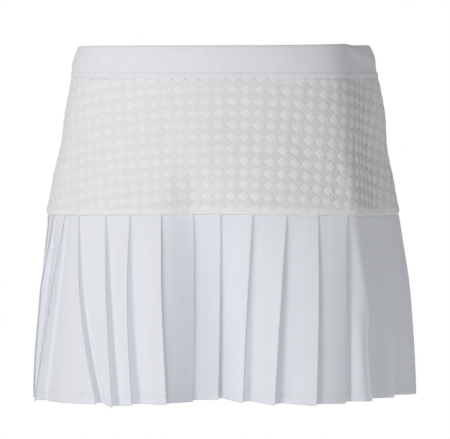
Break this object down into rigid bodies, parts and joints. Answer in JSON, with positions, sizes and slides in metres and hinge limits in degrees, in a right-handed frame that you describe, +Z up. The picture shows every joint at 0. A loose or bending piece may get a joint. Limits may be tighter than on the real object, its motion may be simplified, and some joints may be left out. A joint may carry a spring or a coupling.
{
  "type": "pleated skort",
  "caption": "Worn-form pleated skort with a knit waistband, a patterned mesh hip yoke, a knife-pleated skirt and inner shorts.",
  "frame": {"origin": "centre of the waist opening, level with the top edge of the waistband, where the wearer's waist holds it", "axes": "+Z up out of the waist opening; -Y is the front of the garment; +X is the wearer's left and the garment's longest extent"},
  "size_m": [0.3702, 0.266, 0.3425],
  "materials": {
    "band_knit": "matt white fine rib knit over elastic",
    "yoke_mesh": "matt white openwork mesh with small rosettes",
    "pleat_jersey": "smooth white polyester jersey with pressed pleats, soft sheen",
    "shorts_jersey": "plain white stretch jersey"
  },
  "bodies": {
    "root": {"waistband_front": "band_knit", "waistband_back": "band_knit", "yoke_front": "yoke_mesh", "yoke_back": "yoke_mesh", "skirt_front": "pleat_jersey", "skirt_back": "pleat_jersey", "shorts_left": "shorts_jersey", "shorts_right": "shorts_jersey"}
  },
  "joints": []
}
